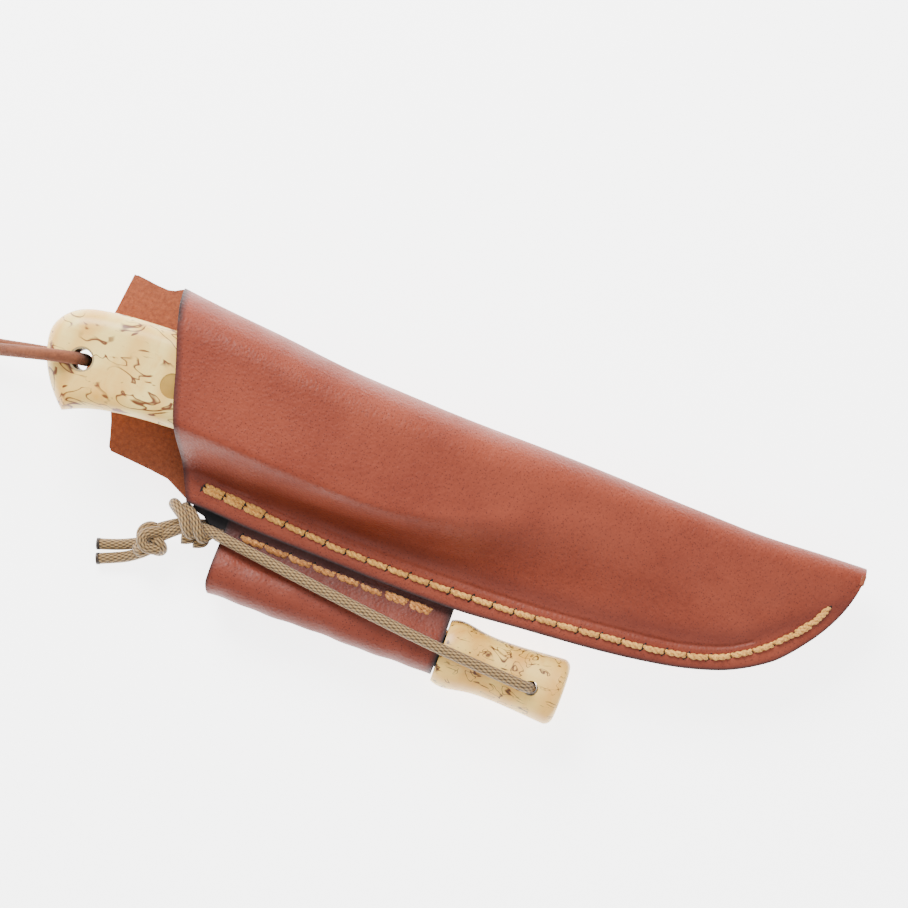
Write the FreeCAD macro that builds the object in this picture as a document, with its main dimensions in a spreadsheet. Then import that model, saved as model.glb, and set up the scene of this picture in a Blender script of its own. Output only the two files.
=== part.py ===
import FreeCAD, Part
import Sketcher
import math
import os

# A full-tang whittling knife with birch scales in a folded leather pouch sheath.  A leather
# loop sewn into the sheath's seam holds a ferro rod with a birch handle on an elastic cord.
# +X runs from the mouth of the sheath to its tip, +Y towards the folded edge and +Z away from
# the wearer.  The origin is under the mouth, on the outer face of the belt strap.

Vec = FreeCAD.Vector
doc = FreeCAD.newDocument("whittling_knife")
sheet = doc.addObject("Spreadsheet::Sheet", "Sizes")

SIZES = {
    "leather_thick": 2.8, "belt_gap": 4.6, "welt_thick": 4.0,
    "strap_width": 35.2, "strap_angle": -8.2, "strap_flat": 56.0, "strap_ramp": 9.0, "strap_pad": 13.0,
    "strap_place": -22.9, "strap_side": 8.7, "stitch_pitch": 6.2, "loop_stitch_pitch": 7.22,
    "loop_thread_over": 0.35, "loop_thread_under": 0.65,
    "knife_level": 23.0, "knife_tilt": 3.18,
    "tang_thick": 3.8, "scale_thick": 8.1, "scale_round": 5.5,
    "pin_radius": 3.5, "pin_front": 46.0, "pin_rear": -3.1, "pin_side": 0.5,
    "lanyard_place": -28.9, "lanyard_side": -0.6, "lanyard_bore": 2.95, "lanyard_outer": 3.5,
    "loop_level": 11.4, "loop_start": 22.0, "loop_end": 90.0, "loop_side": -44.0, "loop_angle": -1.1,
    "loop_outer": 7.5, "loop_bore": 5.4, "loop_flange": 20.3, "rod_radius": 5.0, "rod_start": 27.0,
    "socket_depth": 14.0,
    "grip_start": 90.5, "grip_end": 126.4, "grip_wide": 9.6, "grip_waist": 8.5, "grip_high": 8.0,
    "grip_hole": 117.4, "grip_hole_radius": 2.1,
    "elastic_radius": 1.6, "thong_radius": 1.9, "seam_thread": 0.75, "pin_length": 20.0,
}
for row, (alias, value) in enumerate(SIZES.items(), start=1):
    sheet.set("A%d" % row, alias)
    sheet.set("B%d" % row, str(value))
    sheet.setAlias("B%d" % row, alias)
doc.recompute()


def size(alias):
    return float(sheet.get(alias))


leather = size("leather_thick")
back_low = leather + size("belt_gap")
back_high = back_low + leather
seam_high = back_high + size("welt_thick")
front_high = seam_high + leather
strap_place = FreeCAD.Placement(
    Vec(size("strap_place"), size("strap_side"), 0), FreeCAD.Rotation(Vec(0, 0, 1), size("strap_angle")))
knife_place = FreeCAD.Placement(
    Vec(0, 0, size("knife_level")), FreeCAD.Rotation(Vec(0, 1, 0), size("knife_tilt")))
loop_place = FreeCAD.Placement(
    Vec(size("loop_start"), size("loop_side"), size("loop_level")),
    FreeCAD.Rotation(Vec(0, 0, 1), size("loop_angle")))
nodes = []


# ---- helpers -------------------------------------------------------------------------------

def curve(points):
    """One smooth edge through points."""
    spline = Part.BSplineCurve()
    spline.interpolate(points)
    return spline.toShape()


def prism(edges, low, high):
    """The closed plan outline made by edges, raised from low to high."""
    face = Part.Face(Part.Wire(Part.__sortEdges__(edges)))
    face.translate(Vec(0, 0, low))
    return face.extrude(Vec(0, 0, high - low))


def plan(points, level=0.0):
    return [Vec(x, y, level) for x, y in points]


def lines(points):
    return [Part.makeLine(a, b) for a, b in zip(points, points[1:])]


def feature(name, shape, placement=None):
    """A node whose shape is made here from sizes of the sheet."""
    piece = doc.addObject("Part::Feature", name)
    piece.Label = name
    piece.Shape = shape
    if placement is not None:
        piece.Placement = placement
    nodes.append(piece)
    return piece


def native(piece, name):
    piece.Label = name
    nodes.append(piece)
    return piece


def plane(body, role):
    return next(part for part in body.Origin.OriginFeatures if part.Role == role)


def ring_body(name, place, outer, bore, length, side):
    """A round pin or tube through the handle: a pad of one or two circles."""
    body = doc.addObject("PartDesign::Body", name)
    sketch = body.newObject("Sketcher::SketchObject", name + "_rings")
    sketch.AttachmentSupport = (plane(body, "XY_Plane"), [""])
    sketch.MapMode = "FlatFace"
    sketch.addGeometry(Part.Circle(Vec(0, 0, 0), Vec(0, 0, 1), size(outer)), False)
    sketch.addConstraint(Sketcher.Constraint("Coincident", 0, 3, -1, 1))
    sketch.addConstraint(Sketcher.Constraint("Radius", 0, size(outer)))
    sketch.setExpression("Constraints[1]", "Sizes." + outer)
    if bore:
        sketch.addGeometry(Part.Circle(Vec(0, 0, 0), Vec(0, 0, 1), size(bore)), False)
        sketch.addConstraint(Sketcher.Constraint("Coincident", 1, 3, -1, 1))
        sketch.addConstraint(Sketcher.Constraint("Radius", 1, size(bore)))
        sketch.setExpression("Constraints[3]", "Sizes." + bore)
    pad = body.newObject("PartDesign::Pad", name + "_pad")
    pad.Profile = sketch
    pad.Midplane = True
    pad.setExpression("Length", length)
    shift = FreeCAD.Placement(Vec(size(place), size(side), 0), FreeCAD.Rotation())
    body.Placement = knife_place.multiply(shift)
    return native(body, name)


def tube(name, route, radius):
    """A cord's tube along straight runs joined by tangent arcs, and its volume compared."""
    share = 0.45
    edges = []
    radii = []
    start = route[0]
    for before, corner, after in zip(route, route[1:], route[2:]):
        way_in = (corner - before).normalize()
        way_out = (after - corner).normalize()
        turn = way_in.getAngle(way_out)
        cut = share * min((corner - before).Length, (after - corner).Length)
        bend = cut / math.tan(turn / 2)
        radii.append(round(bend, 1))
        enter = corner - way_in * cut
        leave = corner + way_out * cut
        inward = (way_out - way_in).normalize()
        middle = corner + inward * (bend / math.cos(turn / 2) - bend)
        edges.append(Part.LineSegment(start, enter).toShape())
        edges.append(Part.Arc(enter, middle, leave).toShape())
        start = leave
    edges.append(Part.LineSegment(start, route[-1]).toShape())
    path = Part.Wire(edges)
    ring = Part.Wire(Part.makeCircle(radius, route[0], route[1] - route[0]))
    solid = path.makePipeShell([ring], True, True)
    wanted = math.pi * radius * radius * path.Length
    share_of_volume = round(solid.Volume / wanted, 4)
    print(name, "radii", radii, "length", round(path.Length, 1), "volume", share_of_volume)
    return feature(name, solid)


# ---- sheath --------------------------------------------------------------------------------

SEAM_EDGE = [(9.7, -29.0), (30, -30.5), (50, -31.5), (70, -32.5), (90, -33.0), (110, -32.0),
             (130, -30.9), (150, -28.7), (165, -25.2), (178, -18.5), (187, -9.0), (192.5, 0.0),
             (195, 7.0), (196, 13.0)]
MOUTH = [(-10.5, 31.0), (-9.0, 27.0), (-6.0, 15.5), (-3.0, 5.5), (0.0, -5.5), (4.0, -16.0), (9.7, -29.0)]
# Each station is: place along X, start of the bulge, folded edge, top of the front panel.
STATIONS = [(-13, -21.0, 27.8, 37.2), (0, -21.0, 26.0, 36.5), (20, -21.8, 23.5, 35.4),
            (45, -22.8, 20.4, 33.9), (72, -23.3, 18.6, 31.4), (95, -23.5, 17.9, 27.8),
            (120, -23.0, 16.9, 24.0), (145, -20.5, 15.3, 21.0), (165, -15.0, 14.6, 19.8),
            (182, 1.0, 15.0, 18.3), (196.5, 5.0, 15.2, 17.05)]
FOLD_WIDE = 11.0


def front_profile(start, fold, top):
    """Outer points of the front panel across the sheath, from the seam zone to under the fold."""
    half = (top - back_low) / 2
    reach = min(half, FOLD_WIDE)
    level = back_low + half
    shoulder = start + 0.29 * (fold - reach - start)
    points = []
    for step in range(6):
        part = step / 6
        rise = part * part * (3 - 2 * part)
        points.append((start + part * (shoulder - start), front_high + rise * (top - front_high)))
    points.append((shoulder, top))
    points.append((shoulder + 0.5 * (fold - reach - shoulder), top))
    for step in range(8):
        turn = math.radians(90 - 180 * step / 8)
        points.append((fold - reach + reach * math.cos(turn), level + half * math.sin(turn)))
    points.append((fold - reach, back_low))
    return points


def inset(points, depth):
    """The points moved inwards across the line that they follow."""
    moved = []
    last = len(points) - 1
    for i, (y, z) in enumerate(points):
        before = points[max(i - 1, 0)]
        after = points[min(i + 1, last)]
        dy = after[0] - before[0]
        dz = after[1] - before[1]
        if i in (0, last):
            dz = 0.0
        span = math.hypot(dy, dz)
        moved.append((y + depth * dz / span, z - depth * dy / span))
    return moved


def section(place, start, fold, top):
    """The closed outline of the leather's front and fold at one station."""
    outer = front_profile(start, fold, top)
    inner = inset(outer, leather)
    lip = -36.0
    ring = [(lip, seam_high), (lip, front_high)] + outer + inner[::-1]
    across = [Vec(place, y, z) for y, z in ring]
    return Part.makePolygon(across + across[:1])


def strap_shape():
    """The belt strap: folded under at the left, flat along the belt, sewn to the back panel."""
    ramp = size("strap_flat") + size("strap_ramp")
    end = ramp + size("strap_pad")
    middle = back_high / 2
    fold_in = middle - leather
    side = [Vec(0, 0, 0), Vec(size("strap_flat"), 0, 0), Vec(ramp, 0, back_low - leather),
            Vec(end, 0, back_low - leather), Vec(end, 0, back_low), Vec(ramp - 1.5, 0, back_low),
            Vec(size("strap_flat") - 1.2, 0, leather), Vec(0, 0, leather)]
    edges = lines(side)
    edges.append(Part.Arc(Vec(0, 0, leather), Vec(-fold_in, 0, middle), Vec(0, 0, back_low)).toShape())
    edges.append(Part.makeLine(Vec(0, 0, back_low), Vec(0, 0, back_high)))
    edges.append(Part.Arc(Vec(0, 0, back_high), Vec(-middle, 0, middle), Vec(0, 0, 0)).toShape())
    face = Part.Face(Part.Wire(Part.__sortEdges__(edges)))
    face.translate(Vec(0, -size("strap_width") / 2, 0))
    strap = face.extrude(Vec(0, size("strap_width"), 0))
    strap.Placement = strap_place
    return strap


def sheath_leather():
    """One piece of leather: back panel with the belt strap, folded over into the front panel."""
    front = Part.makeLoft([section(*station) for station in STATIONS], True, True)
    far_side = [(196, 13.0), (199, 22), (-10.5, 31.0)]
    trim = [curve(plan(SEAM_EDGE)), curve(plan(MOUTH[1:])), Part.makeLine(*plan(MOUTH[:2]))]
    trim += lines(plan(far_side))
    front = front.common(prism(trim, -1, 60))
    inside_fold = [(196, 13.0), (150, 11.0), (90, 13.0), (50, 14.5), (20, 17.0), (-8, 20.0)]
    extension = [(-8, 20.0), (-9.5, 27.0), (-12, 26.8), (-15, 25.5), (-20, 26.0), (-20.3, 25.8)]
    shoulder = [(-25.4, -9.0), (-19.6, -11.5), (-17, -20.5), (-15.8, -22.5), (-4, -24.0), (9.7, -29.0)]
    outline = lines(plan(inside_fold)) + lines(plan(extension + shoulder)) + [curve(plan(SEAM_EDGE))]
    back = prism(outline, back_low, back_high)
    return feature("sheath_leather", front.fuse([back, strap_shape()]).removeSplitter())


def welt():
    """The thick edge strip between the two panels, notched where the firesteel loop is sewn in."""
    inner = [(9.7, -20.3), (60, -23.0), (110, -23.5), (145, -20.8), (165, -15.5), (180, -5.0), (187, 5.0),
             (188, 12.0)]
    edges = [curve(plan(SEAM_EDGE)), curve(plan(inner))]
    edges.append(Part.makeLine(*plan([SEAM_EDGE[0], inner[0]])))
    edges += lines(plan([inner[-1], (193, 12.2), SEAM_EDGE[-1]]))
    strip = prism(edges, back_high, seam_high)
    fold_side = Part.makeBox(30, 20, 20, Vec(180, 9.6, 0))
    return feature("welt", strip.cut(flange_box()).cut(fold_side))


def flange_box():
    """The two layers of the loop that lie between the panels."""
    length = size("loop_end") - size("loop_start")
    begin = size("loop_outer") - 0.4
    box = Part.makeBox(length, size("loop_flange") - begin, size("welt_thick"),
                       Vec(0, begin, back_high - size("loop_level")))
    box.Placement = loop_place
    return box


def firesteel_loop():
    """A leather tube for the rod, with its two layers carried into the sheath's seam."""
    length = size("loop_end") - size("loop_start")
    along = Vec(1, 0, 0)
    skin = Part.makeCylinder(size("loop_outer"), length, Vec(0, 0, 0), along)
    bore = Part.makeCylinder(size("loop_bore"), length, Vec(0, 0, 0), along)
    low = back_high - size("loop_level")
    high = seam_high - size("loop_level")
    outer = size("loop_outer")
    wedge = [Vec(0, 0.3 * outer, 0.953 * outer), Vec(0, 8.5, high + 0.3), Vec(0, 10.0, high),
             Vec(0, 12.0, high), Vec(0, 12.0, low), Vec(0, 10.0, low), Vec(0, 8.5, low - 0.6),
             Vec(0, 0.3 * outer, -0.953 * outer)]
    web = Part.Face(Part.makePolygon(wedge + wedge[:1])).extrude(Vec(length, 0, 0))
    shape = skin.fuse(web).cut(bore)
    shape.Placement = loop_place
    return feature("firesteel_loop", shape.fuse(flange_box()).removeSplitter())


def stitch(first, second, level, radius):
    """One stitch: a round bar lying on the leather between two holes."""
    gap = (second - first).normalize() * 0.25
    a = first + gap
    b = second - gap
    a.z = level
    b.z = level
    return Part.makeCylinder(radius, (b - a).Length, a, b - a)


def seam(name, points, levels, radius):
    bars = []
    for level, lift in levels:
        for a, b in zip(points, points[1:]):
            height = level + lift * (radius + 0.06)
            bars.append(stitch(Vec(a.x, a.y, 0), Vec(b.x, b.y, 0), height, radius))
    return feature(name, Part.makeCompound(bars))


def spaced(points, pitch):
    """Holes at an even pitch along a smooth line."""
    edge = curve(plan(points))
    count = int(round(edge.Length / pitch))
    return edge.discretize(count + 1)


MAIN_SEAM = [(13, -23.5), (33, -25.5), (58, -27.8), (83, -28.4), (107.5, -28.2), (130.5, -26.8), (150, -25),
             (163.5, -21.8), (175, -15.3), (185, -5.5), (189, 1.5)]


def threads():
    thread = size("seam_thread")
    main_holes = spaced(MAIN_SEAM, size("stitch_pitch"))
    seam("main_seam_thread", main_holes, ((front_high, 1), (back_low, -1)), thread)
    holes = [Vec(27 + size("loop_stitch_pitch") * i, -33.6 - 0.36 * i, 0) for i in range(9)]
    levels = ((seam_high + size("loop_thread_over"), 1), (back_high - size("loop_thread_under"), -1))
    seam("loop_seam_thread", holes, levels, thread)
    pad = size("strap_flat") + size("strap_ramp") + 3.0
    bars = []
    for away in (0.0, 7.0):
        holes = [strap_place.multVec(Vec(pad + away, -14 + 5.6 * i, 0)) for i in range(6)]
        level = back_low - leather - thread - 0.02
        bars += [stitch(a, b, level, thread) for a, b in zip(holes, holes[1:])]
    feature("belt_loop_thread", Part.makeCompound(bars))


# ---- knife, in its own frame: X along the handle, its middle plane at zero ------------------

HANDLE_TOP = [(-39.8, 2.0), (-38.6, 8.0), (-34.5, 11.9), (-28, 13.9), (-15, 15.0), (0, 15.2), (25, 14.2),
              (50, 12.6), (72, 11.6)]
HANDLE_LOW = [(72, -11.9), (55, -11.0), (30, -10.2), (10, -10.4), (-10, -11.0), (-21, -12.4), (-30, -15.6)]
HEEL = [(-30, -15.6), (-33.8, -11.5), (-38.0, -4.5), (-39.8, 2.0)]


def handle_outline():
    return [curve(plan(HANDLE_TOP)), Part.makeLine(*plan([HANDLE_TOP[-1], HANDLE_LOW[0]])),
            curve(plan(HANDLE_LOW)), curve(plan(HEEL))]


def through_holes(shape):
    """The lanyard hole and the two pin holes, cut through a piece of the handle."""
    holes = (("lanyard_place", "lanyard_side", "lanyard_outer"), ("pin_front", "pin_side", "pin_radius"),
             ("pin_rear", "pin_side", "pin_radius"))
    for place, side, radius in holes:
        hole = Part.makeCylinder(size(radius), 40, Vec(size(place), size(side), -20))
        shape = shape.cut(hole)
    return shape


def blade():
    """Full tang and a drop-point blade with one flat bevel on each side."""
    half = size("tang_thick") / 2
    tang = prism(handle_outline(), -half, half)
    # Each station is: place along X, spine, start of the bevel, cutting edge.
    blade_stations = [(70, 11.6, -10.5, -11.6), (82, 11.5, -5.6, -13.6), (110, 11.3, -5.4, -13.8),
                      (135, 10.6, -4.2, -12.4), (155, 9.2, -1.4, -8.8), (169, 7.2, 2.2, -2.4),
                      (178, 5.2, 4.6, 4.0)]
    edge = 0.08
    wires = []
    for place, spine, bevel, sharp in blade_stations:
        ring = [Vec(place, spine, half), Vec(place, bevel, half), Vec(place, sharp, edge),
                Vec(place, sharp, -edge), Vec(place, bevel, -half), Vec(place, spine, -half)]
        wires.append(Part.makePolygon(ring + ring[:1]))
    steel = Part.makeLoft(wires, True, True)
    return feature("blade", through_holes(tang.fuse(steel)), knife_place)


def scale(name, side):
    """One birch scale, thinner towards both ends, with its outer edges rounded."""
    low = size("tang_thick") / 2
    high = low + size("scale_thick")
    slab = prism(handle_outline(), low, high + 1)
    crown = [Vec(-45, -30, high - 1.6), Vec(-24, -30, high - 0.3), Vec(10, -30, high),
             Vec(45, -30, high - 0.5), Vec(76, -30, high - 2.2)]
    under = [crown[-1], Vec(76, -30, low), Vec(-45, -30, low), crown[0]]
    side_view = Part.Face(Part.Wire(Part.__sortEdges__([curve(crown)] + lines(under))))
    slab = slab.common(side_view.extrude(Vec(0, 60, 0)))
    rims = [edge for edge in slab.Edges if edge.BoundBox.ZMin > low + 4]
    slab = through_holes(slab.makeFillet(size("scale_round"), rims)).Solids[0]
    if side < 0:
        slab = slab.mirror(Vec(0, 0, 0), Vec(0, 0, 1))
    return feature(name, slab, knife_place)


def knife():
    blade()
    scale("front_scale", 1)
    scale("back_scale", -1)
    ring_body("lanyard_tube", "lanyard_place", "lanyard_outer", "lanyard_bore", "Sizes.pin_length - 2.4",
              "lanyard_side")
    ring_body("front_pin", "pin_front", "pin_radius", None, "Sizes.pin_length - 1.6", "pin_side")
    ring_body("rear_pin", "pin_rear", "pin_radius", None, "Sizes.pin_length - 0.5", "pin_side")


# ---- firesteel, in the loop's frame ---------------------------------------------------------

def firesteel():
    """The ferro rod and its oval birch handle with the cord hole."""
    rod = doc.addObject("Part::Cylinder", "ferro_rod")
    rod.setExpression("Radius", "Sizes.rod_radius")
    rod.setExpression("Height", "Sizes.grip_start - Sizes.rod_start + Sizes.socket_depth")
    start = Vec(size("rod_start") - size("loop_start"), 0, 0)
    rod.Placement = loop_place.multiply(FreeCAD.Placement(start, FreeCAD.Rotation(Vec(0, 1, 0), 90)))
    native(rod, "ferro_rod")
    begin = size("grip_start") - size("loop_start")
    length = size("grip_end") - size("grip_start")
    wide = size("grip_wide")
    waist = size("grip_waist")
    flat = size("grip_high") / wide
    corner = 2.4
    flank = [Vec(0, wide - 0.6, 0), Vec(1.6, wide, 0), Vec(0.25 * length, 0.45 * wide + 0.55 * waist, 0),
             Vec(0.46 * length, waist, 0), Vec(0.70 * length, 0.4 * wide + 0.6 * waist, 0),
             Vec(length - corner, wide, 0)]
    shoulder = Part.Arc(flank[-1], Vec(length - 0.5, wide - 0.9, 0), Vec(length, wide - corner, 0))
    edges = lines([Vec(length, wide - corner, 0), Vec(length, 0, 0), Vec(0, 0, 0), flank[0]])
    edges += [curve(flank), shoulder.toShape()]
    turned = Part.Face(Part.Wire(Part.__sortEdges__(edges))).revolve(Vec(0, 0, 0), Vec(1, 0, 0), 360)
    squash = FreeCAD.Matrix()
    squash.scale(1.0, 1.0, flat)
    oval = turned.transformGeometry(squash)
    oval = oval.cut(Part.makeCylinder(size("rod_radius"), size("socket_depth"), Vec(0, 0, 0), Vec(1, 0, 0)))
    hole_foot = Vec(size("grip_hole") - size("grip_start"), -0.9, -20)
    hole = Part.makeCylinder(size("grip_hole_radius"), 40, hole_foot)
    oval = oval.cut(hole)
    shift = FreeCAD.Placement(Vec(begin, 0, 0), FreeCAD.Rotation())
    feature("firesteel_handle", oval, loop_place.multiply(shift))


# ---- cords ----------------------------------------------------------------------------------

def bead(name, centre, half_sizes, cuts):
    """A tied knot's closed outer shape."""
    ball = Part.makeSphere(1.0)
    stretch = FreeCAD.Matrix()
    stretch.scale(*half_sizes)
    knot = ball.transformGeometry(stretch)
    knot.translate(centre)
    for other in cuts:
        knot = knot.cut(other.Shape)
    return feature(name, knot)


def cords():
    elastic = size("elastic_radius")
    thong = size("thong_radius")
    front = [Vec(21.0, -34.9, 18.6), Vec(55, -39.9, 21.0), Vec(88, -44.2, 22.0), Vec(109, -46.0, 21.9),
             Vec(117.6, -46.8, 21.3), Vec(117.6, -46.8, 11.6)]
    tube("cord_front_strand", front, elastic)
    back = [Vec(21.0, -32.8, 4.4), Vec(52, -34.6, 3.6), Vec(82, -39.6, 2.2), Vec(107, -45.4, 1.68),
            Vec(117.6, -46.8, 1.66), Vec(117.6, -46.8, 11.4)]
    tube("cord_back_strand", back, elastic)
    tails = [Vec(-1.5, -45.5, 3.4), Vec(-6, -47.6, 2.2), Vec(-11.0, -49.0, 1.7)]
    upper = tube("cord_tail_long", tails, elastic)
    tails = [Vec(-1.5, -49.4, 3.2), Vec(-5.5, -51.3, 2.2), Vec(-9.8, -53.0, 1.7)]
    lower = tube("cord_tail_short", tails, elastic)
    bead("sheath_knot", Vec(12.2, -35.4, 11.0), (6.4, 5.3, 7.6), [])
    bead("end_knot", Vec(2.6, -43.4, 6.3), (5.6, 6.6, 6.2), [upper, lower])
    neck = Part.makeCylinder(2.3, 8.0, Vec(9.6, -37.0, 9.0), Vec(-5, -4.6, -1.6))
    neck = neck.cut(doc.sheath_knot.Shape).cut(doc.end_knot.Shape)
    feature("cord_neck", neck)
    lace_front = [Vec(-28.9, -0.6, 24.8), Vec(-28.9, -0.6, 37.2), Vec(-42, -3.4, 36.4), Vec(-55, -6.3, 27),
                  Vec(-68, -9.5, 14.0), Vec(-81, -13.0, 5.0), Vec(-96, -16.6, 2.2), Vec(-110, -19.2, 2.1)]
    first = tube("thong_front_strand", lace_front, thong)
    lace_back = [Vec(-28.9, -0.6, 24.4), Vec(-28.9, -0.6, 12.75), Vec(-42, -2.2, 12.5), Vec(-55, -4.6, 10.2),
                 Vec(-68, -6.4, 5.6), Vec(-82, -8.4, 2.6), Vec(-96, -11.4, 2.1), Vec(-110, -14.8, 2.05)]
    second = tube("thong_back_strand", lace_back, thong)
    bead("thong_knot", Vec(-114.5, -17.4, 4.4), (6.4, 6.2, 4.3), [first, second])


sheath_leather()
firesteel_loop()
welt()
threads()
knife()
firesteel()
cords()
doc.recompute()

for item in doc.Objects:
    assert not {"Invalid", "Error"} & set(item.State), item.Name
os.makedirs("parts", exist_ok=True)
for piece in nodes:
    assert not piece.Shape.isNull() and piece.Shape.isValid(), piece.Label
    print(piece.Label, len(piece.Shape.Solids), "solids", round(piece.Shape.Volume, 1), "mm3")
    piece.Shape.exportStep("parts/%s.step" % piece.Label)
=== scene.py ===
import bmesh
import bpy
import math
import numpy as np
from mathutils import Matrix, Vector


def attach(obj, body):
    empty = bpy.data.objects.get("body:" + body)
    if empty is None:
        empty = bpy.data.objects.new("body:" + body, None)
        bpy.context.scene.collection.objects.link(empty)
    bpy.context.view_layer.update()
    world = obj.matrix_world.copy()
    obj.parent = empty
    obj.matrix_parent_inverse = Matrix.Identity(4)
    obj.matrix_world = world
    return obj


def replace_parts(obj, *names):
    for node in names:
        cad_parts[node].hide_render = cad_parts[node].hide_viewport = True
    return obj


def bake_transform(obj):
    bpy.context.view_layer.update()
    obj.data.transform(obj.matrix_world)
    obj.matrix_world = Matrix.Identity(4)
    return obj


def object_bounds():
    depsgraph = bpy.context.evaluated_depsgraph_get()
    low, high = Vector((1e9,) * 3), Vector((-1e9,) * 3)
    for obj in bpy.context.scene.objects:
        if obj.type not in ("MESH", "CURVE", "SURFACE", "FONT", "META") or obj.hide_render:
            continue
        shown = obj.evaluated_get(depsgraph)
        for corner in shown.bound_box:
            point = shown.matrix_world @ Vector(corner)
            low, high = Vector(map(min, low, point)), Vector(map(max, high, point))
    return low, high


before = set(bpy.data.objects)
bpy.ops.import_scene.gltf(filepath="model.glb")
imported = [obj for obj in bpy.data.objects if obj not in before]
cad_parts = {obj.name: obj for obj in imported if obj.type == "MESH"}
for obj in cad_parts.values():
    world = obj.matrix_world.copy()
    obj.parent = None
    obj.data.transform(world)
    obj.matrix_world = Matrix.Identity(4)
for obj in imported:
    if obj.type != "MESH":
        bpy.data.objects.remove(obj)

cad_low, cad_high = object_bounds()
MM = 0.001
LEATHER = 2.8
BACK_LOW, BACK_HIGH, SEAM_HIGH, FRONT_HIGH = 7.4, 10.2, 14.2, 17.0


# ---- camera, floor and light ----------------------------------------------------------------

def make_stage():
    camera = bpy.data.cameras.new("camera")
    camera.lens = 100
    camera.sensor_width = 36
    holder = bpy.data.objects.new("camera", camera)
    bpy.context.scene.collection.objects.link(holder)
    holder.location = (0.0760, 0.0080, 0.7206)
    holder.rotation_euler = (0, 0, math.radians(19))
    bpy.context.scene.camera = holder
    floor_mesh = bpy.data.meshes.new("floor")
    floor_mesh.from_pydata([(-4, -4, 0), (4, -4, 0), (4, 4, 0), (-4, 4, 0)], [], [(0, 1, 2, 3)])
    floor = bpy.data.objects.new("floor", floor_mesh)
    floor.location = (0, 0, cad_low[2] - 0.0002)
    bpy.context.scene.collection.objects.link(floor)
    paint = bpy.data.materials.new("floor_white")
    paint.use_nodes = True
    shader = paint.node_tree.nodes["Principled BSDF"]
    shader.inputs["Base Color"].default_value = (0.93, 0.93, 0.93, 1)
    shader.inputs["Roughness"].default_value = 0.9
    shader.inputs["Emission Color"].default_value = (1, 1, 1, 1)
    shader.inputs["Emission Strength"].default_value = 4.0
    floor_mesh.materials.append(paint)
    world = bpy.data.worlds.new("studio")
    bpy.context.scene.world = world
    world.use_nodes = True
    world.node_tree.nodes["Background"].inputs[0].default_value = (1, 1, 1, 1)
    world.node_tree.nodes["Background"].inputs[1].default_value = 0.62
    for name, place, power, width in (("key", (-0.30, 0.50, 0.55), 13.0, 0.4),
                                      ("fill", (0.6, -0.35, 0.7), 3.0, 0.9),
                                      ("top", (0.05, 0.1, 1.1), 2.0, 0.8)):
        lamp = bpy.data.lights.new(name, "AREA")
        lamp.energy = power
        lamp.size = width
        lit = bpy.data.objects.new(name, lamp)
        lit.location = place
        aim = Vector((0.07, 0, 0)) - Vector(place)
        lit.rotation_euler = aim.to_track_quat("-Z", "Y").to_euler()
        bpy.context.scene.collection.objects.link(lit)


# ---- material helpers -----------------------------------------------------------------------

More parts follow.
